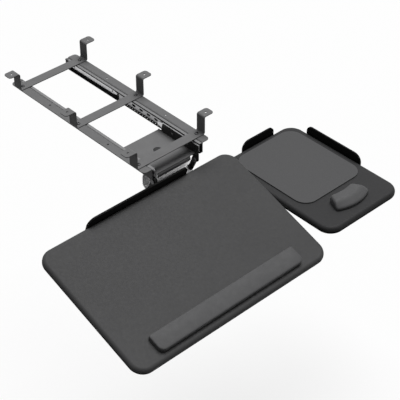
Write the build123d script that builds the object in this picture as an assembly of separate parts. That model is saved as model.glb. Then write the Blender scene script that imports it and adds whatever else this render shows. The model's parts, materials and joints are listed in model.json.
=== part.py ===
from build123d import *
import os
from math import cos, radians, sin, tan

# Keyboard tray that hangs under a desk, with its own mouse tray. Lengths are in millimetres.
# The origin is the middle of the desk screw pattern, in the plane of the desk's underside.
# +X is the user's right, +Y is the back of the desk and +Z is up.
# The carriage stands pulled out to the front and both trays are in their place of use.

os.makedirs("parts", exist_ok=True)

# Desk hangers
hanger_pitch = 213.0
strap_width = 25.4
strap_thick = 2.0
strap_inside = 199.0
strap_bend = 5.0
hanger_drop = 46.0
foot_reach = 30.0
foot_corner = 7.0
foot_hole = 5.5
foot_hole_inset = 14.0

# Rails
rail_length = 490.0
rail_outside = 197.4
rail_flange = 24.0
rail_thick = 2.0
rail_height = 28.5
rail_corner = 9.0
rail_bend = 4.0
rail_hole = 5.0
rail_hole_pitch = 214.0

# Ball bearing slides
slide_length = 490.0
slide_drop = 1.0
slide_height = 27.0
slide_depth = 8.7
slide_wall = 1.2
slide_lip = 2.2
slide_bend = 2.0
slide_hole = 4.0
slide_hole_inset = 6.0
ball_size = 3.5
ball_play = 0.05
cage_thick = 0.8
cage_gap = 2.2
cage_depth = 4.8
cage_bend = 1.4
cage_length = 268.0
cage_back = 43.0
slot_length = 13.0
slot_height = 6.0
slot_corner = 1.2
slot_pitch = 26.6
runner_wall = 1.2
runner_depth = 4.4
runner_bend = 1.7
runner_length = 141.0
runner_tip = 20.0
runner_tip_height = 7.0
strip_height = 11.0
strip_thick = 1.0
strip_length = 180.0
strip_tip = 17.0
strip_tip_height = 5.0
strip_end = 12.0
strip_hole = 4.5
strip_hole_inset = 17.0
bumper_length = 8.0
bumper_play = 0.1
bumper_edge = 1.5

# Carriage
carriage_back = -106.0
carriage_length = 127.0
carriage_sheet = 1.5
carriage_bend = 3.0
carriage_gap = 0.5
carriage_drop = 3.0
carriage_wall = 25.0
carriage_nose = 11.0
wall_set_back = 20.0
lip_width = 98.0
lip_drop = 11.5
lip_bend = 7.0
floor_hole = 21.0
floor_hole_x = 9.6
floor_hole_inset = 60.0

# Lift pivot
pivot_inset = 129.0
pivot_drop = 11.5
ear_radius = 9.5
ear_corner = 6.0
shaft_size = 8.0
running_fit = 0.05
bolt_head = 12.0
bolt_head_height = 2.4
nut_size = 13.0
nut_height = 4.0

# Arm
arm_margin = 6.5
arm_thick = 2.5
arm_slope = 27.0
arm_reach = 46.3
arm_drop = 59.0
arm_wall_inset = 30.0
arm_wall_rise = 3.5
arm_bend = 14.0
arm_corner = 8.0
arm_notch = 14.0
lug_thick = 3.0
lug_radius = 8.0
lug_set_back = 9.0
lug_length = 11.0
lug_flange = 8.0
lug_gap = 0.5
knuckle_wall = 3.0
knuckle_length = 34.0

# Keyboard tray, laid out in its own plane from its back edge
tray_tilt = 18.67
tray_width = 558.0
tray_depth = 348.0
tray_thick = 20.0
tray_corner = 34.0
tray_offset = 123.2
edge_round = 9.0
hinge_inset = 45.4
hinge_drop = 15.3
bracket_width = 160.0
bracket_depth = 122.0
bracket_inset = 24.0
bracket_thick = 2.5
bracket_corner = 10.0
bracket_slot_length = 60.0
bracket_slot_width = 12.0
tilt_ear_radius = 9.5
tilt_ear_foot = 18.0
side_play = 0.5
knob_radius = 12.0
knob_length = 18.0
knob_lobes = 6
knob_lobe_radius = 3.0

# Stops that stand along the edges of the boards
stop_rise = 19.0
stop_thick = 4.0
stop_gap = 0.3
stop_foot = 22.0
stop_sheet = 2.5
stop_corner = 15.0
stop_wide_corner = 21.0
tray_stop_length = 288.5
tray_stop_shift = 2.8
mouse_stop_length = 105.0
mouse_stop_shift = 5.5
side_stop_length = 174.5
side_stop_inset = 51.5

# Wrist rests and mouse pad
soft_gap = 0.3
rest_length = 417.0
rest_depth = 45.5
rest_height = 13.0
rest_crown = 2.0
rest_corner = 13.0
rest_back_corner = 5.0
rest_round = 2.5
rest_draw = 1.5
rest_inset = 16.0
rest_shift = -1.5
pad_width = 198.0
pad_depth = 239.0
pad_thick = 2.5
pad_corner = 34.0
pad_inset = 16.0
pad_shift = 2.5
palm_width = 108.0
palm_depth = 53.0
palm_height = 18.0
palm_waist = 5.0
palm_bulge = 14.5
palm_taper = 24.0
palm_corner = 5.0
palm_slope = 26.0
palm_front = 6.0
palm_draw = 2.0
palm_gap = 19.5
palm_inset = 28.0

# Mouse tray and the arm that carries it
mouse_width = 241.0
mouse_thick = 20.0
mouse_corner = 36.0
mouse_offset = 291.1
mouse_hinge_inset = 133.0
mouse_hinge_drop = 19.0
mouse_hinge_offset = 220.0
mouse_arm_width = 45.0
mouse_arm_thick = 5.0
mouse_arm_start = 84.0
mouse_arm_inset = 120.86
mouse_arm_end = 1.0
crank_start = 116.0
crank_run = 34.0
crank_drop = 62.2
crank_bend = 8.0
tube_length = 60.0
weld_width = 8.0
mouse_bracket_width = 92.0
mouse_bracket_depth = 120.0
eye_wall = 2.5
eye_foot = 18.0
mouse_knob_radius = 14.0

# Screws
screw_size = 5.0
screw_play = 0.1
screw_head = 9.0
screw_head_height = 2.6

# Values that follow from these
overrun = tray_thick
strap_top = -hanger_drop
rail_top = strap_top - strap_thick
rail_half = rail_outside / 2
rail_inner = rail_half - rail_flange
flange_middle = rail_half - rail_flange / 2
slide_top = rail_top - slide_drop
slide_middle = slide_top - slide_height / 2
slide_mouth = rail_inner - slide_depth
slide_hollow = slide_height / 2 - slide_wall
slide_web = rail_inner - slide_wall
ball_row = slide_hollow - ball_play - ball_size / 2
cage_web = slide_web - cage_gap
cage_half = ball_row + cage_thick / 2
runner_half = ball_row - ball_size / 2 - ball_play
wall_outer = slide_mouth - carriage_gap
wall_inner = wall_outer - carriage_sheet
floor_bottom = slide_top - slide_height - carriage_drop - carriage_sheet
wall_top = floor_bottom + carriage_wall
carriage_front = carriage_back - carriage_length
pivot_y = carriage_back - pivot_inset
pivot_z = floor_bottom - pivot_drop
shaft_radius = shaft_size / 2
bore_radius = shaft_radius + running_fit
knuckle_radius = bore_radius + knuckle_wall
hinge_y = pivot_y - arm_reach
hinge_z = pivot_z - arm_drop
tilt_cos = cos(radians(tray_tilt))
tilt_sin = sin(radians(tray_tilt))
hinge_level = -tray_thick / 2 - hinge_drop
tray_back_y = hinge_y + hinge_inset * tilt_cos + hinge_level * tilt_sin
tray_back_z = hinge_z + hinge_inset * tilt_sin - hinge_level * tilt_cos
tray_place = Location((-tray_offset, tray_back_y, tray_back_z), (tray_tilt, 0, 0))
crank_level = -tray_thick / 2 - crank_drop
tube_level = crank_level + knuckle_radius
tube_y = tray_back_y - mouse_arm_inset * tilt_cos - tube_level * tilt_sin
tube_z = tray_back_z - mouse_arm_inset * tilt_sin + tube_level * tilt_cos
mouse_depth = pad_inset + pad_depth + palm_gap + palm_depth + palm_inset
mouse_back_y = tube_y + mouse_hinge_inset
mouse_z = tube_z + mouse_hinge_drop + mouse_thick / 2
mouse_place = Location((mouse_offset, mouse_back_y, mouse_z))
screw_hole = screw_size + 2 * screw_play


def across(face, start, end):
    """A profile drawn as (Y, Z) runs from x = start to x = end."""
    return extrude(Plane.YZ.offset(start) * face, amount=end - start)


def along(face, start, end):
    """A profile drawn as (X, Z) runs from y = start to y = end."""
    return extrude(Plane.XZ.offset(-end) * face, amount=end - start)


def upward(face, start, end):
    """An outline drawn as (X, Y) rises from z = start to z = end."""
    return extrude(Plane.XY.offset(start) * face, amount=end - start)


def bent_sheet(points, radius, thick, side):
    """Profile of a bent sheet whose one face follows the points and whose thickness lies to a side."""
    path = FilletPolyline(*points, radius=radius)
    return make_face(offset(path, amount=thick, side=side))


def polygon(*points):
    return make_face(Polyline(*points, close=True))


def mirrored(solid):
    return mirror(solid, about=Plane.YZ)


def rod(radius, start, end, y, z):
    """A round bar along X."""
    return across(Location((y, z)) * Circle(radius), start, end)


def upright_hole(x, y, size, level):
    return upward(Location((x, y)) * Circle(size / 2), level - overrun, level + overrun)


def screw(length):
    """A pan head screw with its head's seat at the origin and its shank along -Z."""
    head = extrude(Circle(screw_head / 2), amount=screw_head_height)
    return head + extrude(Circle(screw_size / 2), amount=-length)


def board(width, depth, thick, corner):
    """A board with rounded corners and bullnose edges, from its back edge towards -Y."""
    outline = Location((0, -depth / 2)) * RectangleRounded(width, depth, corner)
    slab = upward(outline, -thick / 2, thick / 2)
    rims = slab.faces().filter_by(Axis.Z).edges()
    return fillet(rims, min(edge_round, corner, thick * edge_share))


def knob(radius, start, y, z):
    """A lobed hand knob on the end of a shaft, seated from x = start."""
    body = Circle(radius - knob_lobe_radius / 2)
    body += [spot * Circle(knob_lobe_radius) for spot in PolarLocations(radius - knob_lobe_radius, knob_lobes)]
    grip = across(Location((y, z)) * body, start, start + knob_length)
    return grip - rod(shaft_radius, start - overrun, start + knob_length / 2, y, z)


def edge_stop(length, thick, left_corner, right_corner):
    """A plate that stands behind a board's edge, with a foot under the board."""
    top = thick / 2 + stop_rise
    bottom = -thick / 2 - stop_sheet
    half = length / 2
    plate = polygon((-half, bottom), (half, bottom), (half, top), (-half, top))
    plate = fillet(plate.vertices().group_by(Axis.Y)[-1].sort_by(Axis.X)[0], left_corner)
    plate = fillet(plate.vertices().group_by(Axis.Y)[-1].sort_by(Axis.X)[-1], right_corner)
    plate = along(plate, stop_gap, stop_gap + stop_thick)
    reach = stop_foot + stop_gap
    foot = Location((0, stop_gap - reach / 2)) * Rectangle(length, reach)
    return plate + upward(foot, bottom, -thick / 2)


edge_share = 0.49
parts = {}

# Three straps cross the rails, and each turns up at both ends into a foot for the desk
post = strap_inside / 2
foot_tip = post + foot_reach
hanger_path = [(-foot_tip, 0), (-post, 0), (-post, strap_top), (post, strap_top), (post, 0), (foot_tip, 0)]
hanger_radii = [strap_bend, strap_bend - strap_thick, strap_bend - strap_thick, strap_bend]
hanger = along(bent_sheet(hanger_path, hanger_radii, strap_thick, Side.RIGHT), -strap_width / 2, strap_width / 2)
foot_edges = hanger.edges().filter_by(Axis.Z).group_by(Axis.X)
hanger = fillet(foot_edges[0] + foot_edges[-1], foot_corner)
for side in (-1, 1):
    hanger -= upright_hole(side * (foot_tip - foot_hole_inset), 0, foot_hole, 0)
    hanger -= upright_hole(side * flange_middle, 0, screw_hole, strap_top)
for name, row in (("front", -1), ("middle", 0), ("back", 1)):
    parts["hanger_" + name] = Location((0, row * hanger_pitch, 0)) * hanger

# Each rail is an angle with a wide flange under the straps and a web that carries the slide
rail_path = [(rail_half, rail_top), (rail_inner, rail_top), (rail_inner, rail_top - rail_height)]
rail = along(bent_sheet(rail_path, rail_bend, rail_thick, Side.LEFT), -rail_length / 2, rail_length / 2)
rail = fillet(rail.edges().filter_by(Axis.Z).group_by(Axis.X)[-1], rail_corner)
for row in (-1, 0, 1):
    rail -= upright_hole(flange_middle, row * hanger_pitch, screw_hole, rail_top)
for row in (-1, 1):
    rail -= upright_hole(flange_middle, row * rail_hole_pitch / 2, rail_hole, rail_top)
parts["rail_right"] = rail
parts["rail_left"] = mirrored(rail)

strap_screw = screw(strap_thick + rail_thick)
parts["hanger_screws"] = Compound([
    Location((side * flange_middle, row * hanger_pitch, strap_top)) * strap_screw
    for side in (-1, 1) for row in (-1, 0, 1)])

# The outer slide member is a channel whose lips hold the ball rows
slide_bottom = slide_top - slide_height
channel_path = [
    (slide_mouth, slide_top - slide_lip),
    (slide_mouth, slide_top),
    (rail_inner, slide_top),
    (rail_inner, slide_bottom),
    (slide_mouth, slide_bottom),
    (slide_mouth, slide_bottom + slide_lip)]
channel = bent_sheet(channel_path, slide_bend, slide_wall, Side.RIGHT)
channel = along(channel, -slide_length / 2, slide_length / 2)
slide_hole_x = rail_inner - slide_depth / 2
channel -= upward(
    Location((slide_hole_x, slide_length / 2 - slide_hole_inset)) * Circle(slide_hole / 2),
    slide_top - 2 * slide_wall, slide_top + slide_wall)
parts["slide_channel_right"] = channel
parts["slide_channel_left"] = mirrored(channel)

# A flat latch strip with a tapered tip lies on the channel's web
strip_back = slide_length / 2 - strip_end
strip_front = strip_back - strip_length
strip_outline = polygon(
    (strip_back, slide_middle - strip_height / 2),
    (strip_back, slide_middle + strip_height / 2),
    (strip_front + strip_tip, slide_middle + strip_height / 2),
    (strip_front, slide_middle + strip_tip_height / 2),
    (strip_front, slide_middle - strip_tip_height / 2),
    (strip_front + strip_tip, slide_middle - strip_height / 2))
strip = across(strip_outline, slide_web - strip_thick, slide_web)
for y in (strip_front + strip_hole_inset, strip_back - strip_hole_inset):
    strip -= rod(strip_hole / 2, slide_web - 2 * strip_thick, slide_web + strip_thick, y, slide_middle)
parts["slide_strip_right"] = strip
parts["slide_strip_left"] = mirrored(strip)

# A rubber bumper plugs the back end of each channel
bumper_width = slide_web - slide_mouth - slide_wall - 2 * bumper_play
bumper_face = Location(((slide_web + slide_mouth + slide_wall) / 2, slide_middle))
bumper_face = bumper_face * Rectangle(bumper_width, 2 * (slide_hollow - bumper_play))
bumper = along(bumper_face, slide_length / 2 - bumper_length, slide_length / 2)
bumper = fillet(bumper.edges().filter_by(Axis.Y), bumper_edge)
parts["bumper_right"] = bumper
parts["bumper_left"] = mirrored(bumper)

# The ball cage runs between the slide members and has a row of slots in its web
cage_mouth = cage_web - cage_depth
cage_path = [
    (cage_mouth, slide_middle + cage_half),
    (cage_web, slide_middle + cage_half),
    (cage_web, slide_middle - cage_half),
    (cage_mouth, slide_middle - cage_half)]
cage = bent_sheet(cage_path, cage_bend, cage_thick, Side.RIGHT)
cage = along(cage, cage_back - cage_length, cage_back)
slot_count = int((cage_length - slot_length) / slot_pitch)
slot_end = slot_length / 2
slot_side = slot_end - slot_height / 2
slot_face = polygon(
    (-slot_end, -slot_corner), (-slot_side, -slot_height / 2), (slot_side, -slot_height / 2), (slot_end, -slot_corner),
    (slot_end, slot_corner), (slot_side, slot_height / 2), (-slot_side, slot_height / 2), (-slot_end, slot_corner))
slot_face = Location((cage_back - cage_length / 2, slide_middle)) * slot_face
slot = across(slot_face, cage_web - 2 * cage_thick, cage_web + cage_thick)
cage -= [Location((0, (index - (slot_count - 1) / 2) * slot_pitch, 0)) * slot for index in range(slot_count)]
parts["ball_cage_right"] = cage
parts["ball_cage_left"] = mirrored(cage)

# The inner slide member is a shallow channel with a tapered tip at the back
runner_mouth = wall_outer + runner_depth
runner_path = [
    (runner_mouth, slide_middle + runner_half),
    (wall_outer, slide_middle + runner_half),
    (wall_outer, slide_middle - runner_half),
    (runner_mouth, slide_middle - runner_half)]
runner = bent_sheet(runner_path, runner_bend, runner_wall, Side.LEFT)
runner_front = carriage_front - carriage_nose
runner = along(runner, runner_front, runner_front + runner_length)
tip_outline = polygon(
    (runner_front, slide_middle + runner_half),
    (runner_front + runner_length - runner_tip, slide_middle + runner_half),
    (runner_front + runner_length, slide_middle + runner_tip_height / 2),
    (runner_front + runner_length, slide_middle - runner_tip_height / 2),
    (runner_front + runner_length - runner_tip, slide_middle - runner_half),
    (runner_front, slide_middle - runner_half))
runner = runner & across(tip_outline, wall_outer, runner_mouth)
parts["slide_runner_right"] = runner
parts["slide_runner_left"] = mirrored(runner)

# The carriage is a bent pan that rides between the slides, with a pivot ear at each front corner
pan_path = [(-wall_outer, wall_top), (-wall_outer, floor_bottom), (wall_outer, floor_bottom), (wall_outer, wall_top)]
pan = bent_sheet(pan_path, carriage_bend, carriage_sheet, Side.LEFT)
pan = along(pan, carriage_front, carriage_back)
nose = carriage_front - carriage_nose
ear_back = pivot_y + ear_radius
ear_outline = polygon(
    (carriage_front + ear_radius, wall_top),
    (nose, wall_top),
    (pivot_y - ear_radius, pivot_z),
    (ear_back, pivot_z),
    (ear_back + ear_radius, floor_bottom),
    (ear_back + ear_radius, wall_top))
ear_outline = fillet(ear_outline.vertices().sort_by(Axis.X)[1:3].sort_by(Axis.Y)[-1], ear_corner)
ear_outline += Location((pivot_y, pivot_z)) * Circle(ear_radius)
ear = across(ear_outline, wall_inner, wall_outer)
ear -= rod(bore_radius, wall_inner - overrun, wall_outer + overrun, pivot_y, pivot_z)
pan += ear + mirrored(ear)
lip_path = [
    (carriage_front + lip_bend, floor_bottom + carriage_sheet),
    (carriage_front - carriage_sheet, floor_bottom + carriage_sheet),
    (carriage_front - carriage_sheet, floor_bottom + carriage_sheet - lip_drop)]
lip = bent_sheet(lip_path, lip_bend, carriage_sheet, Side.LEFT)
pan += across(lip, -lip_width / 2, lip_width / 2)
wall_cut = polygon(
    (carriage_back - wall_set_back, wall_top + overrun),
    (carriage_back + overrun, wall_top + overrun),
    (carriage_back + overrun, floor_bottom + carriage_bend),
    (carriage_back - wall_set_back / 2, floor_bottom + carriage_bend))
pan -= across(wall_cut, -rail_half, rail_half)
pan -= upright_hole(floor_hole_x, carriage_back - floor_hole_inset, floor_hole, floor_bottom)
parts["carriage"] = pan

# A bolt through each ear carries the arm's lug, with a nut on the inside
lug_outer = wall_inner - lug_gap
lug_inner = lug_outer - lug_thick
head_seat = wall_outer + stop_gap
bolt = rod(shaft_radius, lug_inner, head_seat, pivot_y, pivot_z)
bolt += rod(bolt_head / 2, head_seat, head_seat + bolt_head_height, pivot_y, pivot_z)
nut_face = Location((pivot_y, pivot_z)) * RegularPolygon(nut_size / 2, 6)
bolt += across(nut_face, lug_inner - nut_height, lug_inner)
parts["pivot_bolts"] = Compound([bolt, mirrored(bolt)])

# The arm is a bent plate: a short wall at the back, then a slope down to the tray's hinge
slope = radians(arm_slope)
slope_gap = knuckle_radius - arm_thick
slope_end_y = hinge_y + slope_gap * sin(slope)
slope_end_z = hinge_z - slope_gap * cos(slope)
arm_wall_y = pivot_y + arm_wall_inset
arm_half = lug_outer + arm_margin
arm_wall_top = pivot_z + arm_wall_rise


def slope_level(y):
    """Height of the arm's upper face at a place along Y."""
    return slope_end_z + (y - slope_end_y) * tan(slope)


arm_path = [(arm_wall_y, arm_wall_top), (arm_wall_y, slope_level(arm_wall_y)), (slope_end_y, slope_end_z)]
arm = across(bent_sheet(arm_path, arm_bend, arm_thick, Side.LEFT), -arm_half, arm_half)
arm = fillet(arm.edges().filter_by(Axis.Y).group_by(Axis.Z)[-1], arm_corner)
notch_half = arm_half - knuckle_length
notch_y = slope_end_y + arm_notch
notch = polygon(
    (slope_end_y - overrun, slope_end_z - overrun),
    (notch_y, slope_level(notch_y) - overrun),
    (notch_y, slope_level(notch_y) + arm_thick),
    (slope_end_y - overrun, slope_end_z))
arm -= across(notch, -notch_half, notch_half)
knuckle = rod(knuckle_radius, notch_half, arm_half, hinge_y, hinge_z)
arm += knuckle + mirrored(knuckle)
arm -= rod(bore_radius, -rail_half, rail_half, hinge_y, hinge_z)

# Each lug stands on the arm inside the carriage's ear, on a screwed flange
lug_front = pivot_y + lug_set_back
lug_back = lug_front + lug_length
lug_outline = polygon(
    (pivot_y - lug_radius, pivot_z),
    (lug_front, slope_level(lug_front)),
    (lug_back, slope_level(lug_back)),
    (pivot_y + lug_radius, pivot_z))
lug_outline += Location((pivot_y, pivot_z)) * Circle(lug_radius)
lug = across(lug_outline, lug_inner, lug_outer)
lug -= rod(shaft_radius, lug_inner - overrun, lug_outer + overrun, pivot_y, pivot_z)
flange_rise = lug_thick / cos(slope)
flange_face = polygon(
    (lug_front, slope_level(lug_front)),
    (lug_back, slope_level(lug_back)),
    (lug_back, slope_level(lug_back) + flange_rise),
    (lug_front, slope_level(lug_front) + flange_rise))
lug += across(flange_face, lug_outer - lug_flange, lug_outer)
parts["arm_plate"] = arm
parts["arm_lug_right"] = lug
parts["arm_lug_left"] = mirrored(lug)
# The hinge shaft turns in the arm's knuckles and is held in the ears of the board's bracket
ear_inner = arm_half + side_play
ear_outer = ear_inner + bracket_thick
shaft = rod(shaft_radius, -ear_outer - side_play, ear_outer + knob_length / 2 + side_play, hinge_y, hinge_z)
shaft += rod(bolt_head / 2, -ear_outer - side_play - bolt_head_height, -ear_outer - side_play, hinge_y, hinge_z)
parts["tilt_shaft"] = shaft
parts["tilt_knob"] = knob(knob_radius, ear_outer + side_play, hinge_y, hinge_z)

# Keyboard board and all that is fixed to it, drawn flat and then put in place
tray_bottom = -tray_thick / 2
tray_top = tray_thick / 2
parts["keyboard_board"] = tray_place * board(tray_width, tray_depth, tray_thick, tray_corner)
back_place = tray_place * Location((tray_stop_shift, 0, 0))
parts["back_stop"] = back_place * edge_stop(tray_stop_length, tray_thick, stop_wide_corner, stop_corner)

bracket_y = -bracket_inset - bracket_depth / 2
bracket = upward(
    Location((0, bracket_y)) * RectangleRounded(bracket_width, bracket_depth, bracket_corner),
    tray_bottom - bracket_thick, tray_bottom)
bracket_slot = SlotOverall(bracket_slot_length, bracket_slot_width, rotation=90)
for side in (-1, 1):
    place = Location((side * bracket_width / 5, bracket_y))
    bracket -= upward(place * bracket_slot, tray_bottom - overrun, tray_bottom + overrun)
tilt_ear = polygon(
    (-hinge_inset - tilt_ear_radius, hinge_level),
    (-hinge_inset + tilt_ear_radius, hinge_level),
    (-hinge_inset + tilt_ear_foot, tray_bottom),
    (-hinge_inset - tilt_ear_foot, tray_bottom))
tilt_ear += Location((-hinge_inset, hinge_level)) * Circle(tilt_ear_radius)
tilt_ear = across(tilt_ear, ear_inner, ear_outer)
bracket += tilt_ear + mirrored(tilt_ear)
bracket -= rod(shaft_radius, -bracket_width, bracket_width, -hinge_inset, hinge_level)
bracket_place = tray_place * Location((tray_offset, 0, 0))
parts["board_bracket"] = bracket_place * bracket


def crowned(outline, length, depth, height, crown):
    """A cushion that rises in an arc across its depth."""
    rise = crown_radius(depth, crown)
    block = upward(outline, 0, height)
    barrel = across(Location((0, height - rise)) * Circle(rise), -length, length)
    return block & barrel


def crown_radius(depth, crown):
    return (depth * depth / 4 + crown * crown) / (2 * crown)


rest_outline = Rectangle(rest_length, rest_depth)
rest_outline = fillet(rest_outline.vertices().group_by(Axis.Y)[0], rest_corner)
rest_outline = fillet(rest_outline.vertices().group_by(Axis.Y)[-1], rest_back_corner)
rest = crowned(rest_outline, rest_length, rest_depth, rest_height, rest_crown)
rest = chamfer(rest.faces().sort_by(Axis.Z)[-1].edges(), rest_round)
rest = chamfer(rest.faces().sort_by(Axis.Z)[0].edges(), rest_draw)
rest_y = -tray_depth + rest_inset + rest_depth / 2
rest_place = tray_place * Location((rest_shift, rest_y, tray_top + soft_gap))
parts["keyboard_wrist_rest"] = rest_place * rest

# The mouse arm is a cranked bar under the keyboard board, with a tube welded on its lower end
arm_left = tray_offset + mouse_arm_start
crank_left = tray_offset + crank_start
crank_right = crank_left + crank_run
tube_left = tray_offset + mouse_hinge_offset - tube_length / 2
tube_right = tube_left + tube_length
bar_right = tube_right + mouse_arm_end
bar_path = [(arm_left, tray_bottom), (crank_left, tray_bottom), (crank_right, crank_level), (bar_right, crank_level)]
bar = bent_sheet(bar_path, crank_bend, mouse_arm_thick, Side.RIGHT)
bar = along(bar, -mouse_arm_inset - mouse_arm_width / 2, -mouse_arm_inset + mouse_arm_width / 2)
bar += rod(knuckle_radius, tube_left, tube_right, -mouse_arm_inset, tube_level)
weld = Location((-mouse_arm_inset, (crank_level + tube_level) / 2)) * Rectangle(weld_width, knuckle_radius)
bar += across(weld, tube_left, tube_right)
bar -= rod(bore_radius, tube_left - overrun, tube_right + overrun, -mouse_arm_inset, tube_level)
parts["mouse_arm"] = tray_place * bar

# Mouse board and all that is fixed to it
mouse_bottom = -mouse_thick / 2
mouse_top = mouse_thick / 2
parts["mouse_board"] = mouse_place * board(mouse_width, mouse_depth, mouse_thick, mouse_corner)
pad = Location((pad_shift, -pad_inset - pad_depth / 2)) * RectangleRounded(pad_width, pad_depth, pad_corner)
parts["mouse_pad"] = mouse_place * upward(pad, mouse_top, mouse_top + pad_thick)
back_place = mouse_place * Location((mouse_stop_shift, 0, 0))
mouse_stop = edge_stop(mouse_stop_length, mouse_thick, stop_wide_corner, stop_corner)
parts["mouse_back_stop"] = back_place * mouse_stop
side_y = -side_stop_inset - side_stop_length / 2
side_place = mouse_place * Location((mouse_width / 2, side_y, 0), (0, 0, -90))
side_stop = edge_stop(side_stop_length, mouse_thick, stop_corner, stop_wide_corner)
parts["mouse_side_stop"] = side_place * side_stop

palm_half = palm_depth / 2
palm_back = palm_width / 2 - palm_taper
palm_wide = palm_width / 2
palm_shoulder = palm_bulge - palm_half
palm_outline = make_face(Curve() + [
    ThreePointArc((-palm_back, palm_half), (0, palm_half - palm_waist), (palm_back, palm_half)),
    Line((palm_back, palm_half), (palm_wide, palm_shoulder)),
    ThreePointArc((palm_wide, palm_shoulder), (0, -palm_half), (-palm_wide, palm_shoulder)),
    Line((-palm_wide, palm_shoulder), (-palm_back, palm_half))])
palm_outline = fillet(palm_outline.vertices(), palm_corner)
palm = upward(palm_outline, 0, palm_height)
palm = chamfer(palm.faces().sort_by(Axis.Z)[0].edges(), palm_draw)
palm_profile = polygon(
    (palm_half, 0),
    (palm_half, palm_height),
    (palm_slope - palm_half, palm_height),
    (-palm_half, palm_front),
    (-palm_half, 0))
palm = palm & across(palm_profile, -palm_width, palm_width)
palm_y = -pad_inset - pad_depth - palm_gap - palm_half
parts["mouse_wrist_rest"] = mouse_place * Location((0, palm_y, mouse_top + soft_gap)) * palm

# The mouse board's bracket has two eyes, one at each end of the arm's tube
hinge_x = mouse_hinge_offset - mouse_offset
mouse_level = mouse_bottom - mouse_hinge_drop
mouse_plate_bottom = mouse_bottom - bracket_thick
plate_outline = Location((hinge_x, -mouse_hinge_inset))
plate_outline = plate_outline * RectangleRounded(mouse_bracket_width, mouse_bracket_depth, bracket_corner)
mouse_bracket = upward(plate_outline, mouse_plate_bottom, mouse_bottom)
eye_radius = shaft_radius + eye_wall
eye_face = polygon(
    (-mouse_hinge_inset - eye_radius, mouse_level),
    (-mouse_hinge_inset + eye_radius, mouse_level),
    (-mouse_hinge_inset + eye_foot, mouse_bottom),
    (-mouse_hinge_inset - eye_foot, mouse_bottom))
eye_face += Location((-mouse_hinge_inset, mouse_level)) * Circle(eye_radius)
eye_gap = tube_length / 2 + side_play
for side in (-1, 1):
    near = hinge_x + side * eye_gap
    far = near + side * bracket_thick
    mouse_bracket += across(eye_face, min(near, far), max(near, far))
mouse_bracket -= rod(shaft_radius, -mouse_width, mouse_width, -mouse_hinge_inset, mouse_level)
parts["mouse_bracket"] = mouse_place * mouse_bracket

eye_left = mouse_hinge_offset - eye_gap - bracket_thick - side_play
eye_right = mouse_hinge_offset + eye_gap + bracket_thick + side_play
mouse_shaft = rod(shaft_radius, eye_left, eye_right + knob_length / 2, tube_y, tube_z)
mouse_shaft += rod(bolt_head / 2, eye_left - bolt_head_height, eye_left, tube_y, tube_z)
parts["mouse_shaft"] = mouse_shaft
parts["mouse_knob"] = knob(mouse_knob_radius, eye_right, tube_y, tube_z)

for name, solid in parts.items():
    solid.label = name
    export_step(solid, "parts/" + name + ".step")
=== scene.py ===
import json
import math

import bmesh
import bpy
from mathutils import Matrix, Vector


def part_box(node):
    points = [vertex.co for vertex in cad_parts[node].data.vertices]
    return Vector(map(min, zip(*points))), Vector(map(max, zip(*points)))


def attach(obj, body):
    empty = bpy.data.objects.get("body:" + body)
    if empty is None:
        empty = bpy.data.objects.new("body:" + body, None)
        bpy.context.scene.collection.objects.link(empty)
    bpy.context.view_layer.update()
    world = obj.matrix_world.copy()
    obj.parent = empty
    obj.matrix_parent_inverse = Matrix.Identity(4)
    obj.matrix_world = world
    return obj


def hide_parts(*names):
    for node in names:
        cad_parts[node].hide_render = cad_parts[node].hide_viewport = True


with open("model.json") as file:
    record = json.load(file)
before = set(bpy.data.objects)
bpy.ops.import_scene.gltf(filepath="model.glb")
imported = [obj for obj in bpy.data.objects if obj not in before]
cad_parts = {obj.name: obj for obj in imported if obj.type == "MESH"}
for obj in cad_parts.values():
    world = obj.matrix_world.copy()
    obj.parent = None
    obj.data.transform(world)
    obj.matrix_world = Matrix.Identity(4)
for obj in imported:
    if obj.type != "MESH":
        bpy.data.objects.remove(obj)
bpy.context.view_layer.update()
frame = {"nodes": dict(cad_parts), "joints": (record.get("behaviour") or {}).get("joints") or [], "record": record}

NODES = frame["nodes"]
JOINTS = {joint["name"]: joint for joint in frame["joints"]}

# Sizes in metres and angles in radians, repeated from the construction
TRAY_TILT = math.radians(18.67)
TRAY_X = -0.1232
HINGE_INSET = 0.0454
HINGE_LEVEL = -0.0253
MOUSE_X = 0.2911
BOARD_THICK = 0.020
SHEET = 0.0025
SLIDE_LEVEL = -0.0625
SOFT_GAP = 0.0003
HALF_TURN = math.pi
QUARTER_TURN = math.pi / 2

# Places that come in pairs and in threes
SIDES = (-1, 1)
ROWS = (-1, 0, 1)


def middle(node):
    """Centre of a node's box."""
    low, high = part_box(node)
    return (Vector(low) + Vector(high)) / 2


def tray_matrix():
    """Place of the keyboard board: its back edge's middle, tilted down to the front."""
    hinge = Vector(JOINTS["tray_tilt"]["pos_m"])
    turn = Matrix.Rotation(TRAY_TILT, 4, "X")
    back = hinge - turn @ Vector((0, -HINGE_INSET, HINGE_LEVEL))
    back.x = TRAY_X
    return Matrix.Translation(back) @ turn


def mouse_matrix():
    """Place of the mouse board: its back edge's middle."""
    low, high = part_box("mouse_board")
    return Matrix.Translation((MOUSE_X, high[1], (low[2] + high[2]) / 2))


TRAY = tray_matrix()
MOUSE = mouse_matrix()


# Nodes of materials
def shader(name, colour, roughness, metallic=0.0, specular=0.5):
    """A new material with its node tree, its main shader and a place in object space."""
    material = bpy.data.materials.new(name)
    material.use_nodes = True
    tree = material.node_tree
    main = tree.nodes["Principled BSDF"]
    main.inputs["Base Color"].default_value = (*colour, 1)
    main.inputs["Roughness"].default_value = roughness
    main.inputs["Metallic"].default_value = metallic
    main.inputs["Specular IOR Level"].default_value = specular
    place = tree.nodes.new("ShaderNodeTexCoord")
    return material, tree, main, place.outputs["Object"]


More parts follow.
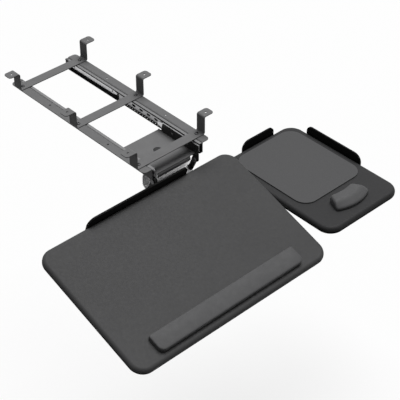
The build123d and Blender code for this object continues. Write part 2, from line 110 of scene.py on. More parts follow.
def noise(tree, place, scale, detail=4.0, roughness=0.55):
    """Soft cloudy noise round one half."""
    node = tree.nodes.new("ShaderNodeTexNoise")
    node.inputs["Scale"].default_value = scale
    node.inputs["Detail"].default_value = detail
    node.inputs["Roughness"].default_value = roughness
    tree.links.new(place, node.inputs["Vector"])
    return node.outputs["Fac"]


def stretch(tree, place, scale):
    """Object space with each axis scaled by itself, for drawn lines."""
    node = tree.nodes.new("ShaderNodeMapping")
    node.inputs["Scale"].default_value = scale
    tree.links.new(place, node.inputs["Vector"])
    return node.outputs["Vector"]


def ramp(tree, value, low, high, start=0.0, end=1.0):
    """Maps a value from start to end onto the way between two colours."""
    node = tree.nodes.new("ShaderNodeValToRGB")
    node.color_ramp.elements[0].position = start
    node.color_ramp.elements[1].position = end
    node.color_ramp.elements[0].color = (*low, 1)
    node.color_ramp.elements[1].color = (*high, 1)
    tree.links.new(value, node.inputs["Fac"])
    return node.outputs["Color"]


def calculated(tree, operation, first, second):
    """A math node on two values, each a number or a socket."""
    node = tree.nodes.new("ShaderNodeMath")
    node.operation = operation
    for value, socket in zip((first, second), node.inputs):
        if isinstance(value, float):
            socket.default_value = value
        else:
            tree.links.new(value, socket)
    return node.outputs["Value"]


def blended(tree, share, first, second):
    """Mixes two colours by a share, each a constant or a socket."""
    node = tree.nodes.new("ShaderNodeMixRGB")
    tree.links.new(share, node.inputs["Fac"])
    for value, name in ((first, "Color1"), (second, "Color2")):
        if isinstance(value, tuple):
            node.inputs[name].default_value = (*value, 1)
        else:
            tree.links.new(value, node.inputs[name])
    return node.outputs["Color"]


def feeding(main, name):
    """The socket that an input of the main shader takes its value from."""
    return main.inputs[name].links[0].from_socket


def shade(colour, factor):
    """A colour made lighter or darker."""
    return tuple(min(1.0, channel * factor) for channel in colour)


def tint(tree, main, value, colour, spread, start=0.3, end=0.7):
    """Varies the base colour round its middle by the spread."""
    pair = ramp(tree, value, shade(colour, 1 - spread), shade(colour, 1 + spread), start, end)
    tree.links.new(pair, main.inputs["Base Color"])


def gloss(tree, main, value, low, high, start=0.3, end=0.7):
    """Varies the roughness between two levels."""
    levels = ramp(tree, value, (low, low, low), (high, high, high), start, end)
    tree.links.new(levels, main.inputs["Roughness"])


def bump(tree, main, height, distance, strength, under=None):
    """Roughens the surface by a height, on top of another bump where one is given."""
    node = tree.nodes.new("ShaderNodeBump")
    node.inputs["Distance"].default_value = distance
    node.inputs["Strength"].default_value = strength
    tree.links.new(height, node.inputs["Height"])
    if under is not None:
        tree.links.new(under, node.inputs["Normal"])
    tree.links.new(node.outputs["Normal"], main.inputs["Normal"])
    return node.outputs["Normal"]


# Finishes
def powder_coat(name, colour, roughness, grain=0.00012, specular=0.15):
    """Paint on sheet steel: an orange-peel skin with a faint mottling of its colour."""
    material, tree, main, place = shader(name, colour, roughness, specular=specular)
    tint(tree, main, noise(tree, place, scale=38.0, detail=3.0), colour, spread=0.05)
    gloss(tree, main, noise(tree, place, scale=90.0), low=roughness - 0.05, high=roughness + 0.06)
    peel = noise(tree, place, scale=420.0, detail=2.0)
    coarse = bump(tree, main, peel, distance=grain, strength=0.35)
    fine = noise(tree, place, scale=1900.0, detail=2.0)
    bump(tree, main, fine, distance=grain * 0.5, strength=0.3, under=coarse)
    return material


def zinc_plate(name, colour, roughness, scale=(30.0, 2.0, 30.0)):
    """Bright plated steel with drawn lines along the strip and a cloudy tone."""
    material, tree, main, place = shader(name, colour, roughness, metallic=0.9)
    tint(tree, main, noise(tree, place, scale=60.0, detail=4.0), colour, spread=0.08)
    lines = noise(tree, stretch(tree, place, scale), scale=60.0, detail=3.0)
    gloss(tree, main, lines, low=roughness - 0.08, high=roughness + 0.10)
    bump(tree, main, lines, distance=0.00004, strength=0.3)
    return material


def satin_metal(name, colour, roughness):
    """Silvery satin plate with a fine even grain."""
    material, tree, main, place = shader(name, colour, roughness, metallic=0.85)
    tint(tree, main, noise(tree, place, scale=45.0, detail=4.0), colour, spread=0.03)
    cloud = noise(tree, place, scale=260.0, detail=2.0)
    gloss(tree, main, cloud, low=roughness - 0.02, high=roughness + 0.02)
    bump(tree, main, noise(tree, place, scale=1700.0, detail=3.0), distance=0.00001, strength=0.15)
    return material


def ball_finish(name, colour):
    """Polished steel balls."""
    material, tree, main, place = shader(name, colour, roughness=0.25, metallic=0.35)
    tint(tree, main, noise(tree, place, scale=300.0, detail=3.0), colour, spread=0.05)
    gloss(tree, main, noise(tree, place, scale=500.0, detail=3.0), low=0.20, high=0.32)
    return material


def woven(name, colour, pitch):
    """A plain weave of two crossed thread waves."""
    material, tree, main, place = shader(name, colour, roughness=0.85, specular=0.12)
    threads = []
    for direction in ("X", "Y"):
        wave = tree.nodes.new("ShaderNodeTexWave")
        wave.bands_direction = direction
        wave.wave_profile = "SIN"
        wave.inputs["Scale"].default_value = math.pi / (10 * pitch)
        wave.inputs["Distortion"].default_value = 0.6
        wave.inputs["Detail"].default_value = 1.0
        wave.inputs["Detail Scale"].default_value = 2.0
        tree.links.new(place, wave.inputs["Vector"])
        threads.append(wave.outputs["Fac"])
    cross = calculated(tree, "MAXIMUM", threads[0], threads[1])
    tint(tree, main, cross, colour, spread=0.12, start=0.2, end=0.9)
    uneven = noise(tree, place, scale=22.0, detail=3.0)
    soft = bump(tree, main, uneven, distance=0.0006, strength=0.12)
    bump(tree, main, cross, distance=0.00014, strength=0.5, under=soft)
    return material


def leatherette(name, colour):
    """A smooth moulded cover with a fine grain and soft unevenness."""
    material, tree, main, place = shader(name, colour, roughness=0.5, specular=0.15)
    tint(tree, main, noise(tree, place, scale=26.0, detail=4.0), colour, spread=0.05)
    gloss(tree, main, noise(tree, place, scale=70.0, detail=3.0), low=0.44, high=0.58)
    cells = tree.nodes.new("ShaderNodeTexVoronoi")
    cells.feature = "DISTANCE_TO_EDGE"
    cells.inputs["Scale"].default_value = 780.0
    tree.links.new(place, cells.inputs["Vector"])
    grain = ramp(tree, cells.outputs["Distance"], (0, 0, 0), (1, 1, 1), end=0.12)
    uneven = noise(tree, place, scale=30.0, detail=2.0)
    soft = bump(tree, main, uneven, distance=0.0008, strength=0.10)
    bump(tree, main, grain, distance=0.00010, strength=0.35, under=soft)
    return material


def hard_plastic(name, colour, roughness):
    """Moulded plastic with a spark-eroded finish."""
    material, tree, main, place = shader(name, colour, roughness, specular=0.15)
    tint(tree, main, noise(tree, place, scale=120.0, detail=3.0), colour, spread=0.12)
    cloud = noise(tree, place, scale=300.0, detail=3.0)
    gloss(tree, main, cloud, low=roughness - 0.06, high=roughness + 0.08)
    bump(tree, main, noise(tree, place, scale=1500.0, detail=3.0), distance=0.00008, strength=0.35)
    return material


# Finishes of two tones, partly painted shade and a painted highlight: the levels in metres at which they change,
# and their second colours
WALL_START = 0.0635
LIP_END = 0.0672
LIP_TOP = -0.0522
CAGE_LOW = -0.0712
CAGE_HIGH = -0.0538
# Black of the carriage's pivot ears, and painted shade on its side walls
WALL_SHADE_AND_EAR_BLACK = (0.020, 0.020, 0.020)
# Painted highlight on the slide channels' upper face
UPPER_FACE_HIGHLIGHT_GREY = (0.24, 0.24, 0.243)
# Painted shade in the cages' ball rows, between the balls
ROW_SHADE_BLACK = (0.006, 0.006, 0.006)

# Painted shade on the boards' lower part, from where it starts to where it is full, over their mid-plane
UNDERSIDE_SHADE_START = 0.0065
UNDERSIDE_SHADE_FULL = -0.0010
UNDERSIDE_SHADE_BLACK = (0.007, 0.007, 0.007)


def two_tone(material, colour, limits):
    """Gives another colour to the part of a finish that is inside all the limits.

    Each limit is an axis, a test and a level. X is taken to either side of the middle.
    """
    tree = material.node_tree
    main = tree.nodes["Principled BSDF"]
    place = tree.nodes.new("ShaderNodeTexCoord").outputs["Object"]
    split = tree.nodes.new("ShaderNodeSeparateXYZ")
    tree.links.new(place, split.inputs["Vector"])
    share = 1.0
    for axis, test, level in limits:
        value = split.outputs[axis]
        if axis == "X":
            value = calculated(tree, "ABSOLUTE", value, 0.0)
        share = calculated(tree, "MULTIPLY", calculated(tree, test, value, level), share)
    mixed = blended(tree, share, feeding(main, "Base Color"), colour)
    tree.links.new(mixed, main.inputs["Base Color"])
    return material


def carriage_paint_and_wall_shade(name, colour, roughness):
    """Grey paint on the carriage's pan, with its pivot ears painted black and its two side walls black as painted
    shade.
    """
    material = powder_coat(name, colour, roughness)
    # Black beyond the walls' inner face: the ears' own paint, and painted shade on the walls
    return two_tone(material, WALL_SHADE_AND_EAR_BLACK, [("X", "GREATER_THAN", WALL_START)])


def channel_with_painted_highlight(name, colour, roughness):
    """Black slide channel whose upper face has a lighter tone, a painted highlight."""
    material = powder_coat(name, colour, roughness, grain=0.00006)
    # Painted highlight: the upper face is lighter for the light that falls on it from above
    upper_face = [("X", "GREATER_THAN", LIP_END), ("Z", "GREATER_THAN", LIP_TOP)]
    return two_tone(material, UPPER_FACE_HIGHLIGHT_GREY, upper_face)


def cage_zinc_with_row_shade(name, colour, roughness):
    """Zinc web whose ball rows above and below it are painted black as shade between the balls."""
    material = zinc_plate(name, colour, roughness)
    # Painted shade: the rows where the balls run are black
    two_tone(material, ROW_SHADE_BLACK, [("Z", "LESS_THAN", CAGE_LOW)])
    return two_tone(material, ROW_SHADE_BLACK, [("Z", "GREATER_THAN", CAGE_HIGH)])


def moulded_board(name, colour, board_place):
    """Board with a fine pebble texture and a soft sheen, whose lower part fades to matte black as painted shade.
    """
    material, tree, main, place = shader(name, colour, roughness=0.55, specular=0.13)
    tint(tree, main, noise(tree, place, scale=9.0, detail=5.0), colour, spread=0.045)
    gloss(tree, main, noise(tree, place, scale=150.0, detail=3.0), low=0.49, high=0.61)
    pebble = tree.nodes.new("ShaderNodeTexVoronoi")
    pebble.inputs["Scale"].default_value = 900.0
    tree.links.new(place, pebble.inputs["Vector"])
    coarse = bump(tree, main, pebble.outputs["Distance"], distance=0.00012, strength=0.30)
    fine = noise(tree, place, scale=2600.0, detail=2.0)
    bump(tree, main, fine, distance=0.00005, strength=0.25, under=coarse)
    upright = board_place.to_3x3().col[2]
    height = tree.nodes.new("ShaderNodeVectorMath")
    height.operation = "DOT_PRODUCT"
    height.inputs[1].default_value = upright
    tree.links.new(place, height.inputs[0])
    mid_plane = upright.dot(board_place.translation)
    face = tree.nodes.new("ShaderNodeMapRange")
    face.inputs["From Min"].default_value = mid_plane + UNDERSIDE_SHADE_FULL
    face.inputs["From Max"].default_value = mid_plane + UNDERSIDE_SHADE_START
    tree.links.new(height.outputs["Value"], face.inputs["Value"])
    share = face.outputs["Result"]
    # Painted shade: the board darkens to black towards its underside
    mixed = blended(tree, share, UNDERSIDE_SHADE_BLACK, feeding(main, "Base Color"))
    tree.links.new(mixed, main.inputs["Base Color"])
    matte = calculated(tree, "SUBTRACT", 1.0, share)
    rough = calculated(tree, "MAXIMUM", feeding(main, "Roughness"), matte)
    tree.links.new(rough, main.inputs["Roughness"])
    return material


def make_materials():
    """All finishes, each with its colour and roughness.

    They go by the names of the record's slots and by a few names of their own.
    """
    return {
        "frame_steel": powder_coat(
            "frame_paint", (0.166, 0.166, 0.168), 0.54, specular=0.08),
        "carriage_steel": carriage_paint_and_wall_shade("carriage_paint_finish", (0.158, 0.158, 0.160), 0.52),
        "slide_black": powder_coat(
            "slide_black_finish", (0.010, 0.010, 0.011), 0.50, grain=0.00006),
        "zinc_steel": zinc_plate("zinc_finish", (0.64, 0.64, 0.65), 0.42),
        "screw_steel": zinc_plate(
            "screw_finish", (0.05, 0.05, 0.052), 0.34, scale=(20.0, 20.0, 20.0)),
        "arm_silver": satin_metal("arm_finish", (0.93, 0.93, 0.935), 0.56),
        "bracket_black": powder_coat("bracket_paint", (0.008, 0.008, 0.008), 0.55),
        "tray_bracket": satin_metal("tray_bracket_finish", (0.84, 0.84, 0.845), 0.56),
        "cage_zinc": cage_zinc_with_row_shade("cage_zinc_finish", (0.34, 0.34, 0.345), 0.42),
        "channel": channel_with_painted_highlight("channel_paint", (0.010, 0.010, 0.011), 0.50),
        "ball": ball_finish("ball_polish", (0.92, 0.92, 0.92)),
        "plug": hard_plastic("plug_rubber_finish", (0.034, 0.034, 0.035), 0.62),
        "stop_black": powder_coat("stop_paint", (0.006, 0.006, 0.006), 0.62, specular=0.06),
        "tray_board": moulded_board("board_finish", (0.061, 0.061, 0.062), TRAY),
        # The mouse board takes a darker copy of the keyboard board's finish, as painted shade
        "mouse_tray_board": moulded_board("mouse_board_shaded_finish", (0.027, 0.027, 0.028), MOUSE),
        "pad_rubber": woven("pad_cloth", (0.096, 0.096, 0.098), pitch=0.0011),
        "rest_cover": leatherette("rest_cover_finish", (0.085, 0.085, 0.087)),
        "palm_cover": leatherette("palm_cover_finish", (0.090, 0.090, 0.092)),
        "knob_plastic": hard_plastic("knob_finish", (0.012, 0.012, 0.013), 0.45),
        "bumper_rubber": hard_plastic("bumper_finish", (0.008, 0.008, 0.008), 0.72),
    }


MATERIALS = make_materials()

# Nodes that don't take the finish that their slot names
NODE_FINISH = {
    "board_bracket": "tray_bracket",
    "ball_cage_left": "cage_zinc",
    "ball_cage_right": "cage_zinc",
    "slide_channel_left": "channel",
    "slide_channel_right": "channel",
}


def dress_nodes():
    """Gives each carried-over piece the finish that its slot names, or one of its own."""
    for part in frame["record"]["subparts"]:
        finish = NODE_FINISH.get(part["node"], part["material_slot"])
        node = NODES[part["node"]]
        node.data.materials.clear()
        node.data.materials.append(MATERIALS[finish])


dress_nodes()


# Mesh helpers
def add_mesh(name, verts, faces, slot, body, smooth=True, finish=None):
    """A new piece that rides on a body and takes its finish from a slot, or one of its own."""
    mesh = bpy.data.meshes.new(name)
    mesh.from_pydata([tuple(v) for v in verts], [], faces)
    joined = bmesh.new()
    joined.from_mesh(mesh)
    bmesh.ops.remove_doubles(joined, verts=joined.verts, dist=1e-7)
    bmesh.ops.dissolve_degenerate(joined, edges=joined.edges, dist=1e-7)
    joined.to_mesh(mesh)
    joined.free()
    mesh.validate()
    mesh.materials.append(MATERIALS[finish or slot])
    piece = bpy.data.objects.new(name, mesh)
    bpy.context.collection.objects.link(piece)
    for face in mesh.polygons:
        face.use_smooth = smooth
    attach(piece, body)
    return piece


def ring_faces(count, rows):
    """Quads between stacked rings of points, each with the same count."""
    faces = []
    for row in range(rows):
        low = row * count
        high = low + count
        for index in range(count):
            after = (index + 1) % count
            faces.append((low + index, low + after, high + after, high + index))
    return faces


def stacked(rings):
    """Points and faces of a form made of rings, from its flat base to a last ring that is shut."""
    count = len(rings[0])
    verts = [point for ring in rings for point in ring]
    faces = ring_faces(count, len(rings) - 1)
    faces.append(tuple(reversed(range(count))))
    return verts, faces


def turned(profile, sides=24):
    """A solid of revolution about Z, from (radius, height) pairs that end on its axis."""
    verts = []
    for radius, height in profile[:-1]:
        for index in range(sides):
            angle = 2 * math.pi * index / sides
            verts.append((radius * math.cos(angle), radius * math.sin(angle), height))
    faces = ring_faces(sides, len(profile) - 2)
    faces.append(tuple(reversed(range(sides))))
    top = len(verts)
    last = top - sides
    verts.append((0, 0, profile[-1][1]))
    faces.extend((last + index, last + (index + 1) % sides, top) for index in range(sides))
    mesh = bpy.data.meshes.new("turned")
    mesh.from_pydata(verts, [], faces)
    return mesh


def facing(point, turn_x=0.0, turn_y=0.0):
    """A place at a point, with its +Z turned about X and Y."""
    tilt = Matrix.Rotation(turn_x, 4, "X") @ Matrix.Rotation(turn_y, 4, "Y")
    return Matrix.Translation(point) @ tilt


# Each further copy is turned a little about its own axis, so that the crosses don't line up
COPY_TURN = 0.7


def placed(name, shape, slot, body, places, size=1.0, smooth=False, finish=None):
    """Copies of a shape in one piece, each at a matrix whose +Z points out of its seat."""
    verts = []
    faces = []
    for turn, place in enumerate(places):
        spun = place @ Matrix.Rotation(COPY_TURN * turn, 4, "Z") @ Matrix.Scale(size, 4)
        base = len(verts)
        verts.extend(spun @ vert.co for vert in shape.vertices)
        faces.extend(tuple(base + index for index in face.vertices) for face in shape.polygons)
    return add_mesh(name, verts, faces, slot, body, smooth, finish)


# Balls in their cages
BALL_SIZE = 0.0035
BALL_PITCH = 0.00925
BALL_ROW = 0.0105
BALL_X = 0.0688


def ball_shape():
    """One ball's points and faces, in an order that is the same in each run."""
    ball = bmesh.new()
    bmesh.ops.create_uvsphere(ball, u_segments=16, v_segments=10, radius=BALL_SIZE / 2)
    points = sorted(ball.verts, key=lambda vert: tuple(round(value, 7) for value in vert.co))
    rank = {vert: index for index, vert in enumerate(points)}
    verts = [vert.co.copy() for vert in points]
    faces = []
    for face in ball.faces:
        loop = [rank[vert] for vert in face.verts]
        first = loop.index(min(loop))
        faces.append(tuple(loop[first:] + loop[:first]))
    ball.free()
    return verts, sorted(faces)


def ball_rows(name, node, body, side):
    """Two rows of bearing balls along a cage."""
    ball_verts, ball_faces = ball_shape()
    low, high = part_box(node)
    length = high[1] - low[1]
    count = int(length / BALL_PITCH) - 1
    start = (low[1] + high[1]) / 2 - (count - 1) * BALL_PITCH / 2
    verts = []
    faces = []
    for level in (SLIDE_LEVEL - BALL_ROW, SLIDE_LEVEL + BALL_ROW):
        for index in range(count):
            centre = Vector((side * BALL_X, start + index * BALL_PITCH, level))
            base = len(verts)
            verts.extend(vert + centre for vert in ball_verts)
            faces.extend(tuple(base + corner for corner in face) for face in ball_faces)
    return add_mesh(name, verts, faces, "zinc_steel", body, finish="ball")


ball_rows("ball_row_left", "ball_cage_left", "left_cage", -1)
ball_rows("ball_row_right", "ball_cage_right", "right_cage", 1)

# Screw heads: a profile in shares of half their width and of their height, and a cross recess
# whose length and width are shares of the width and whose depth is a share of the height
SCREW_HEAD = 0.009
SCREW_RISE = 0.0026
SCREW_SIDES = 32
SCREW_PROFILE = [
    (1.00, 0.00), (1.00, 0.38), (0.97, 0.58), (0.88, 0.76), (0.72, 0.90), (0.45, 0.98),
    (0.0, 1.0)]
CROSS_LENGTH = 0.56
CROSS_WIDTH = 0.13
CROSS_DEPTH = 1.2


def screw_mesh():
    """Pan head with a rounded rim and a cross cut into its top, seated at z = 0."""
    profile = [(reach * SCREW_HEAD / 2, rise * SCREW_RISE) for reach, rise in SCREW_PROFILE]
    head = bpy.data.objects.new("screw_blank", turned(profile, SCREW_SIDES))
    bpy.context.collection.objects.link(head)
    cutters = bmesh.new()
    for turn in (0, QUARTER_TURN):
        place = Matrix.Translation((0, 0, SCREW_RISE)) @ Matrix.Rotation(turn, 4, "Z")
        size = Matrix.Diagonal((
            SCREW_HEAD * CROSS_LENGTH, SCREW_HEAD * CROSS_WIDTH, SCREW_RISE * CROSS_DEPTH, 1))
        bmesh.ops.create_cube(cutters, size=1.0, matrix=place @ size)
    cut_mesh = bpy.data.meshes.new("screw_cutter")
    cutters.to_mesh(cut_mesh)
    cutters.free()
    cutter = bpy.data.objects.new("screw_cutter", cut_mesh)
    bpy.context.collection.objects.link(cutter)
    cut = head.modifiers.new("cut", "BOOLEAN")
    cut.operation = "DIFFERENCE"
    cut.solver = "EXACT"
    cut.use_self = True
    cut.object = cutter
    evaluated = head.evaluated_get(bpy.context.evaluated_depsgraph_get())
    shaped = bpy.data.meshes.new_from_object(evaluated)
    bpy.data.objects.remove(head)
    bpy.data.objects.remove(cutter)
    return shaped


SCREW = screw_mesh()

# Screws that hold the hangers' straps to the rails
STRAP_TOP = -0.046
FLANGE_X = 0.0867
HANGER_PITCH = 0.213
strap_screws = placed("strap_screw_heads", SCREW, "screw_steel", "frame", [
    facing((side * FLANGE_X, row * HANGER_PITCH, STRAP_TOP)) for side in SIDES for row in ROWS])
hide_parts("hanger_screws")

# Rivets that hold each slide to its rail
RIVET = turned([
    (0.00350, 0.0), (0.00348, 0.0003), (0.00320, 0.0008), (0.00250, 0.00128), (0.00150, 0.00155),
    (0.0, 0.00165)])
WEB_OUTSIDE = 0.0767
RIVET_PITCH = 0.190
placed("rail_rivets", RIVET, "slide_black", "frame", [
    facing((side * WEB_OUTSIDE, row * RIVET_PITCH, SLIDE_LEVEL), 0.0, side * QUARTER_TURN)
    for side in SIDES for row in ROWS], smooth=True)

# Screws that hold the carriage to its two runners
WALL_INSIDE = 0.0640
WALL_SCREW_PLACES = (-0.1563, -0.2080)
WALL_SCREW_LEVEL = -0.0655
WALL_SCREW_SIZE = 0.72
placed("carriage_wall_screws", SCREW, "carriage_steel", "carriage_unit", [
    facing((side * WALL_INSIDE, y, WALL_SCREW_LEVEL), 0.0, -side * QUARTER_TURN)
    for side in SIDES for y in WALL_SCREW_PLACES], WALL_SCREW_SIZE)

# A dished plug closes the hole in the carriage's floor
PLUG = turned([
    (0.0102, 0.0), (0.0102, 0.0010), (0.0099, 0.0012), (0.0094, 0.0010), (0.0086, 0.0005),
    (0.0060, 0.0003), (0.0, 0.0002)], 40)
PLUG_PLACE = (0.0096, -0.166, -0.0805)
placed("floor_plug", PLUG, "bumper_rubber", "carriage_unit", [facing(PLUG_PLACE)],
       smooth=True, finish="plug")

# Screws through the lugs' flanges into the arm
ARM_SLOPE = math.radians(27.0)
KNUCKLE_REACH = 0.00705
LUG_SHEET = 0.003
LUG_SCREW_X = 0.0583
LUG_SCREW_Y = -0.2205
LUG_SCREW_SIZE = 0.55


def arm_level(y):
    """Height of the arm's upper face at a place along Y."""
    hinge = Vector(JOINTS["tray_tilt"]["pos_m"])
    end_y = hinge.y + (KNUCKLE_REACH - SHEET) * math.sin(ARM_SLOPE)
    end_z = hinge.z - (KNUCKLE_REACH - SHEET) * math.cos(ARM_SLOPE)
    return end_z + (y - end_y) * math.tan(ARM_SLOPE)


lug_level = arm_level(LUG_SCREW_Y) + LUG_SHEET / math.cos(ARM_SLOPE)
placed("lug_screws", SCREW, "screw_steel", "arm_unit", [
    facing((side * LUG_SCREW_X, LUG_SCREW_Y, lug_level), ARM_SLOPE) for side in SIDES],
    LUG_SCREW_SIZE)

# Screws under both boards: at their brackets' corners and along the feet of their back stops
BOARD_SCREW_SIZE = 0.85
UNDER_SHEET = -0.0125
FOOT_LINE = -0.011
TRAY_FOOT_SCREWS = (-0.125, 0.0028, 0.130)
MOUSE_FOOT_SCREWS = (-0.035, 0.046)
TRAY_BRACKET = (0.1232, -0.085)
TRAY_BRACKET_REACH = (0.071, 0.052)
MOUSE_BRACKET = (0.220, -0.340)
MOUSE_BRACKET_REACH = (0.036, 0.050)


def corners(centre, reach, level):
    """Downward places at the four corners round a centre."""
    return [
        facing((centre[0] + side * reach[0], centre[1] + end * reach[1], level), HALF_TURN)
        for side in SIDES for end in SIDES]


def foot_screws(board, places):
    """Downward places along the foot of a board's back stop."""
    return [board @ facing((x, FOOT_LINE, UNDER_SHEET), HALF_TURN) for x in places]


under_tray = [
    TRAY @ corner for corner in corners(TRAY_BRACKET, TRAY_BRACKET_REACH, UNDER_SHEET)]
under_tray += foot_screws(TRAY, TRAY_FOOT_SCREWS)
placed("board_screws", SCREW, "screw_steel", "keyboard_unit", under_tray, BOARD_SCREW_SIZE)

mouse_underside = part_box("mouse_board")[0][2]
under_mouse = corners(MOUSE_BRACKET, MOUSE_BRACKET_REACH, mouse_underside - SHEET)
under_mouse += foot_screws(MOUSE, MOUSE_FOOT_SCREWS)
placed("mouse_board_screws", SCREW, "screw_steel", "mouse_unit", under_mouse, BOARD_SCREW_SIZE)

# The long wrist rest: its size, corners and crown, and its inset at each level
REST_LENGTH = 0.4165
REST_DEPTH = 0.0450
REST_FRONT_RADIUS = 0.0140
REST_BACK_RADIUS = 0.0050
REST_LEAST_RADIUS = 0.0006
REST_CROWN = 0.0010
REST_SHAPE = [
    (0.0012, 0.0), (0.0004, 0.0008), (0.0, 0.0020), (0.0, 0.0084), (0.0003, 0.0096),
    (0.0010, 0.0106), (0.0020, 0.0111), (0.0034, 0.0114)]


def rest_outline(inset, steps=8):
    """Points round the rest, whose front corners are rounder than its back ones."""
    half_x = REST_LENGTH / 2 - inset
    half_y = REST_DEPTH / 2 - inset
    bends = [
        (half_x, -half_y, REST_FRONT_RADIUS, -90), (half_x, half_y, REST_BACK_RADIUS, 0),
        (-half_x, half_y, REST_BACK_RADIUS, 90), (-half_x, -half_y, REST_FRONT_RADIUS, 180)]
    points = []
    for x, y, radius, start in bends:
        reach = max(radius - inset, REST_LEAST_RADIUS)
        centre_x = x - math.copysign(reach, x)
        centre_y = y - math.copysign(reach, y)
        for step in range(steps + 1):
            angle = math.radians(start + 90 * step / steps)
            points.append((
                centre_x + reach * math.cos(angle), centre_y + reach * math.sin(angle)))
    return points


def drawn_to_spine(ring, reach, height, steps=6):
    """More rings, each nearer to a line along X that the last one lies on.

    The reach is half that line's length, and the height is a function of the place.
    """
    rings = []
    for step in range(1, steps + 1):
        share = step / steps
        row = []
        for x, y, _ in ring:
            spine_x = max(-reach, min(reach, x))
            place_x = x + (spine_x - x) * share
            place_y = y - y * share
            row.append((place_x, place_y, height(place_x, place_y)))
        rings.append(row)
    return rings


def bar_rest():
    """The long rest: a drawn-in base, upright sides, a soft edge and a crowned top."""
    rings = []
    for inset, level in REST_SHAPE:
        rings.append([(x, y, level) for x, y in rest_outline(inset)])
    edge_inset, edge_level = REST_SHAPE[-1]
    rim = REST_DEPTH / 2 - edge_inset

    def crown(x, y):
        across = min(1.0, abs(y) / rim)
        ends = min(1.0, max(0.0, (REST_LENGTH / 2 - abs(x)) / rim))
        rise = (1 - across ** 2) * math.sin(ends * QUARTER_TURN)
        return edge_level + REST_CROWN * rise

    rings.extend(drawn_to_spine(rings[-1], REST_LENGTH / 2 - REST_DEPTH / 2, crown))
    verts, faces = stacked(rings)
    centre = TRAY.inverted() @ middle("keyboard_wrist_rest")
    place = TRAY @ Matrix.Translation((centre.x, centre.y, BOARD_THICK / 2 + SOFT_GAP))
    verts = [place @ Vector(v) for v in verts]
    piece = add_mesh("keyboard_rest_cushion", verts, faces, "rest_cover", "keyboard_unit")
    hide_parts("keyboard_wrist_rest")
    return piece


# The palm rest: half lengths to the left and right of its back edge and of its widest part,
# the hollow of its back and the arch of its front
PALM_BACK = (0.0400, 0.0300)
PALM_WIDE = (0.0560, 0.0540)
PALM_HALF = 0.0265
PALM_HOLLOW = 0.0050
PALM_ARCH = 0.0145

# How its outline is divided and eased
PALM_POINTS = 14
PALM_STEP = 0.002
PALM_PASSES = 9

# Its heights, and the shares of its depth between which its top rolls down to the front
PALM_HEIGHT = 0.0178
PALM_FRONT = 0.0088
PALM_ROLL = 0.50
PALM_LIP = -0.02

# The bent line that its rings close on
SPINE_REACH = 0.0210
SPINE_SHARE = 0.62
SPINE_Y = -0.0025
SPINE_BEND = 0.0070

# Its rings from the base to the spine: their size and their share of the height
PALM_SHAPE = [
    (0.965, 0.0), (0.988, 0.05), (0.998, 0.14), (1.0, 0.26), (1.0, 0.44), (0.990, 0.60),
    (0.968, 0.73), (0.932, 0.84), (0.885, 0.915), (0.825, 0.96), (0.750, 0.985), (0.660, 0.997),
    (0.550, 1.0), (0.430, 1.0), (0.300, 1.0), (0.160, 1.0), (0.0, 1.0)]


def eased(points, step, passes):
    """Divides a closed outline evenly and eases its corners."""
    dense = []
    count = len(points)
    for index in range(count):
        after = points[(index + 1) % count]
        parts = max(1, int((after - points[index]).length / step))
        dense.extend(points[index].lerp(after, part / parts) for part in range(parts))
    for _ in range(passes):
        dense = [
            dense[index] * 0.5 + (dense[index - 1] + dense[(index + 1) % len(dense)]) * 0.25
            for index in range(len(dense))]
    return dense


def palm_share(x, reach):
    """How far a place lies towards the rest's end on its own side."""
    return min(1.0, abs(x) / (reach[0] if x < 0 else reach[1]))


def palm_back(x):
    """The rest's hollow back edge."""
    return PALM_HALF - PALM_HOLLOW * (1 - palm_share(x, PALM_BACK) ** 2)


def palm_front(x):
    """The rest's arched front edge."""
    return -PALM_HALF + PALM_ARCH * palm_share(x, PALM_WIDE) ** 2


def palm_outline():
    """A fan: a hollow back, ends that part towards the front, and an arched front."""
    points = []
    for step in range(PALM_POINTS + 1):
        x = -PALM_BACK[0] + sum(PALM_BACK) * step / PALM_POINTS
        points.append(Vector((x, palm_back(x))))
    for step in range(PALM_POINTS + 1):
        x = PALM_WIDE[1] - sum(PALM_WIDE) * step / PALM_POINTS
        points.append(Vector((x, palm_front(x))))
    return eased(points, PALM_STEP, PALM_PASSES)


def palm_top(x, y):
    """Height of the rest's top, flat at the back and rolled down to a low front."""
    share = (y - palm_front(x)) / (palm_back(x) - palm_front(x))
    rise = max(0.0, min(1.0, (share - PALM_LIP) / (PALM_ROLL - PALM_LIP)))
    return PALM_FRONT + (PALM_HEIGHT - PALM_FRONT) * rise * rise * (3 - 2 * rise)


def palm_rest():
    """The short rest for the mouse hand, soft all round."""
    outline = palm_outline()
    rings = []
    for size, share in PALM_SHAPE:
        ring = []
        for point in outline:
            spine_x = max(-SPINE_REACH, min(SPINE_REACH, SPINE_SHARE * point.x))
            spine_y = SPINE_Y + SPINE_BEND * (spine_x / PALM_BACK[1]) ** 2
            x = spine_x + (point.x - spine_x) * size
            y = spine_y + (point.y - spine_y) * size
            ring.append((x, y, share * palm_top(x, y)))
        rings.append(ring)
    verts, faces = stacked(rings)
    centre = middle("mouse_wrist_rest")
    level = middle("mouse_board").z + BOARD_THICK / 2 + SOFT_GAP
    place = Matrix.Translation((centre.x, centre.y, level))
    verts = [place @ Vector(v) for v in verts]
    piece = add_mesh("mouse_rest_cushion", verts, faces, "palm_cover", "mouse_unit")
    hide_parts("mouse_wrist_rest")
    return piece


bar_rest()
palm_rest()

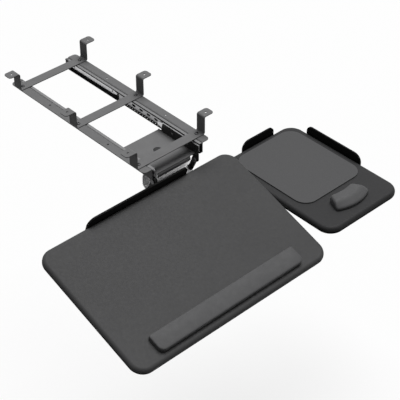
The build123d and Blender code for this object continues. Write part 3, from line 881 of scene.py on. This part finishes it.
# Floor, world, light and camera
WHITE = (1.0, 1.0, 1.0)
FLOOR_LEVEL = -0.73
FLOOR_REACH = 12.0
FLOOR_TONE = (0.13, 0.13, 0.13)
FLOOR_SEEN_TONE = (0.95, 0.95, 0.95)
FLOOR_ROUGHNESS = 0.9
FLOOR_GLOW = 0.80
WORLD_STRENGTH = 0.12
WORLD_SEEN_STRENGTH = 1.0
SUN_PLACE = (0.9, 0.5, 3.0)
SUN_ANGLE = math.radians(44.0)
SUN_STRENGTH = 2.85
CAMERA_PLACE = (-1.5357, -1.9820, 1.6644)
CAMERA_TURN = (math.radians(51.58), 0.0, math.radians(-42.72))
CAMERA_LENS = 116.27
CAMERA_SENSOR = 36.0
CAMERA_RANGE = 50.0


def looked_at(tree):
    """One where the camera, a mirror or glass looks at the surface, and nought for other rays."""
    rays = tree.nodes.new("ShaderNodeLightPath").outputs
    direct = calculated(tree, "MAXIMUM", rays["Is Camera Ray"], rays["Is Glossy Ray"])
    return calculated(tree, "MAXIMUM", direct, rays["Is Transmission Ray"])


def floor_white():
    """A matte floor that is seen as nearly white, with a faint shadow of the object."""
    material = bpy.data.materials.new("floor_white")
    material.use_nodes = True
    tree = material.node_tree
    main = tree.nodes["Principled BSDF"]
    looked = looked_at(tree)
    tone = blended(tree, looked, FLOOR_TONE, FLOOR_SEEN_TONE)
    tree.links.new(tone, main.inputs["Base Color"])
    main.inputs["Roughness"].default_value = FLOOR_ROUGHNESS
    glow = tree.nodes.new("ShaderNodeEmission")
    glow.inputs["Color"].default_value = (*WHITE, 1)
    mix = tree.nodes.new("ShaderNodeMixShader")
    tree.links.new(calculated(tree, "MULTIPLY", looked, FLOOR_GLOW), mix.inputs["Fac"])
    tree.links.new(main.outputs["BSDF"], mix.inputs[1])
    tree.links.new(glow.outputs["Emission"], mix.inputs[2])
    tree.links.new(mix.outputs["Shader"], tree.nodes["Material Output"].inputs["Surface"])
    return material


def build_floor():
    """A wide plain floor well below the object."""
    mesh = bpy.data.meshes.new("floor")
    ends = [
        (-FLOOR_REACH, -FLOOR_REACH, FLOOR_LEVEL), (FLOOR_REACH, -FLOOR_REACH, FLOOR_LEVEL),
        (FLOOR_REACH, FLOOR_REACH, FLOOR_LEVEL), (-FLOOR_REACH, FLOOR_REACH, FLOOR_LEVEL)]
    mesh.from_pydata(ends, [], [(0, 1, 2, 3)])
    mesh.materials.append(floor_white())
    floor = bpy.data.objects.new("floor", mesh)
    bpy.context.collection.objects.link(floor)


def build_world():
    """A dim even light from all round, seen as white."""
    world = bpy.data.worlds.new("studio")
    bpy.context.scene.world = world
    world.use_nodes = True
    tree = world.node_tree
    light = tree.nodes["Background"]
    light.inputs["Color"].default_value = (*WHITE, 1)
    light.inputs["Strength"].default_value = WORLD_STRENGTH
    seen = tree.nodes.new("ShaderNodeBackground")
    seen.inputs["Color"].default_value = (*WHITE, 1)
    seen.inputs["Strength"].default_value = WORLD_SEEN_STRENGTH
    mix = tree.nodes.new("ShaderNodeMixShader")
    tree.links.new(looked_at(tree), mix.inputs["Fac"])
    tree.links.new(light.outputs["Background"], mix.inputs[1])
    tree.links.new(seen.outputs["Background"], mix.inputs[2])
    tree.links.new(mix.outputs["Shader"], tree.nodes["World Output"].inputs["Surface"])


def build_light():
    """One large soft light from above, aimed at the frame's origin."""
    data = bpy.data.lights.new("key", "SUN")
    data.angle = SUN_ANGLE
    data.energy = SUN_STRENGTH
    lamp = bpy.data.objects.new("key", data)
    lamp.location = SUN_PLACE
    lamp.rotation_euler = (-Vector(SUN_PLACE)).to_track_quat("-Z", "Y").to_euler()
    bpy.context.collection.objects.link(lamp)


def build_camera():
    """The photograph's camera."""
    data = bpy.data.cameras.new("camera")
    data.lens = CAMERA_LENS
    data.sensor_width = CAMERA_SENSOR
    data.clip_end = CAMERA_RANGE
    camera = bpy.data.objects.new("camera", data)
    camera.location = CAMERA_PLACE
    camera.rotation_euler = CAMERA_TURN
    bpy.context.collection.objects.link(camera)
    bpy.context.scene.camera = camera


build_floor()
build_world()
build_light()
build_camera()
bpy.context.scene.view_settings.view_transform = "Standard"
